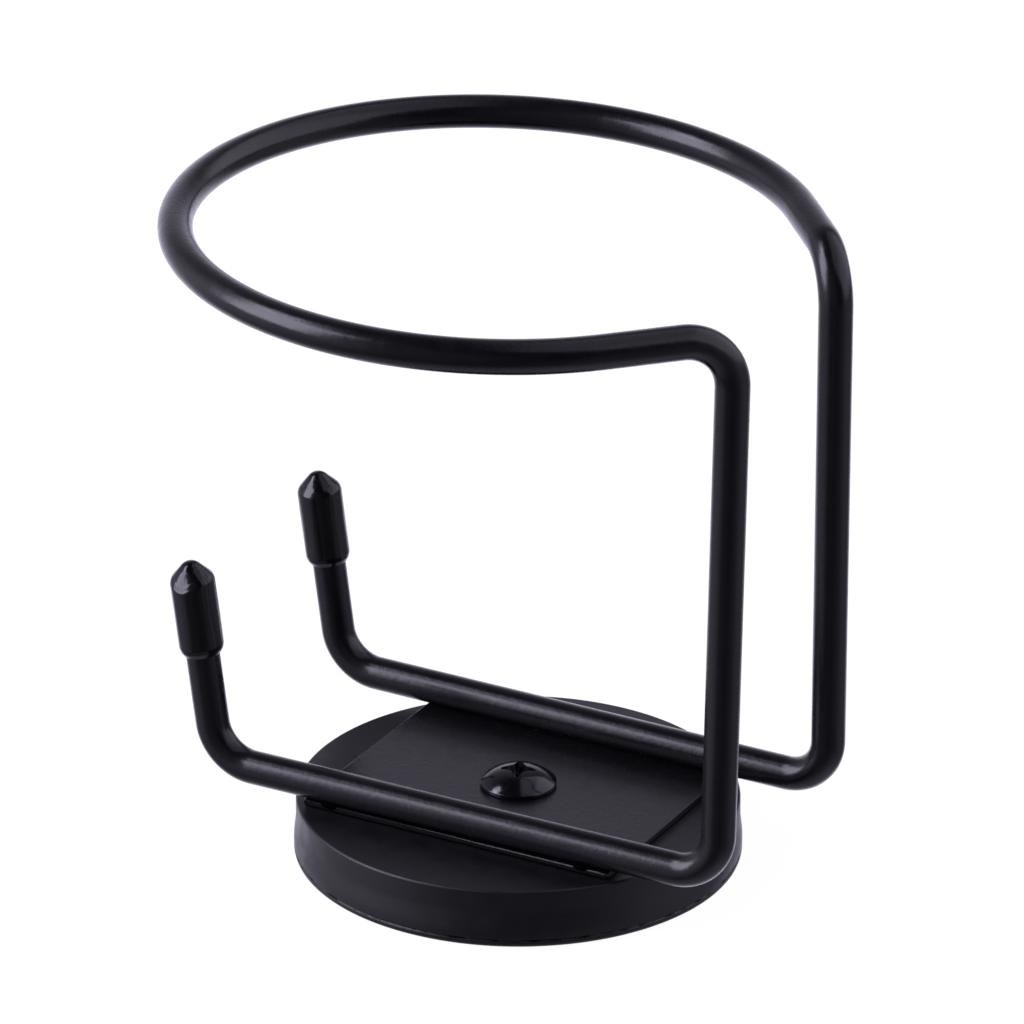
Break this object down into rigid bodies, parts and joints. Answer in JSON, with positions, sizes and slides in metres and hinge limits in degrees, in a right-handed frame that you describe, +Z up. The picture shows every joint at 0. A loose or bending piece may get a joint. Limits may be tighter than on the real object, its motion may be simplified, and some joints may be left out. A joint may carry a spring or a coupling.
{
  "type": "hair dryer holder",
  "caption": "Bent-rod ring stand with two capped prongs, screwed to a rubber-coated magnetic base, that holds a hair dryer on a steel surface.",
  "frame": {"origin": "centre of the magnet base's bottom face, on the screw's axis", "axes": "+Z up along the screw, away from the steel surface; rails along X, capped prongs at -X, uprights at +X; the ring opens over the base"},
  "size_m": [0.0969, 0.0958, 0.1008],
  "materials": {
    "powder_coat": "satin black powder coat with fine orange peel",
    "rubber": "matte moulded black rubber",
    "vinyl": "glossy dip-moulded black vinyl",
    "screw_black": "glossy black plated steel",
    "steel": "zinc plated",
    "nickel": "nickel plated magnet"
  },
  "bodies": {
    "base": {"rubber_jacket": "rubber", "steel_yoke_plate": "steel", "threaded_bush": "steel", "disc_magnet_01": "nickel", "disc_magnet_02": "nickel", "disc_magnet_03": "nickel", "disc_magnet_04": "nickel", "disc_magnet_05": "nickel", "disc_magnet_06": "nickel", "disc_magnet_07": "nickel", "disc_magnet_08": "nickel", "disc_magnet_09": "nickel", "disc_magnet_10": "nickel"},
    "frame": {"bent_rod_frame": "powder_coat", "mounting_plate": "powder_coat", "weld_bead_front_left": "powder_coat", "weld_bead_front_right": "powder_coat", "weld_bead_rear_left": "powder_coat", "weld_bead_rear_right": "powder_coat"},
    "screw": {"clamp_screw": "screw_black"},
    "front_cap": {"front_prong_cap": "vinyl"},
    "rear_cap": {"rear_prong_cap": "vinyl"}
  },
  "joints": [
    {"name": "frame_swivel", "type": "hinge", "parent": "base", "child": "frame", "pos_m": [0, 0, 0.009], "axis": [0, 0, 1], "continuous": true},
    {"name": "screw_turn", "type": "hinge", "parent": "base", "child": "screw", "pos_m": [0, 0, 0.01005], "axis": [0, 0, 1], "range_deg": [0, 180]},
    {"name": "front_cap_pull", "type": "slide", "parent": "frame", "child": "front_cap", "axis": [-0.1357, 0, 0.9907], "range_m": [0, 0.014]},
    {"name": "rear_cap_pull", "type": "slide", "parent": "frame", "child": "rear_cap", "axis": [-0.1357, 0, 0.9907], "range_m": [0, 0.014]}
  ]
}
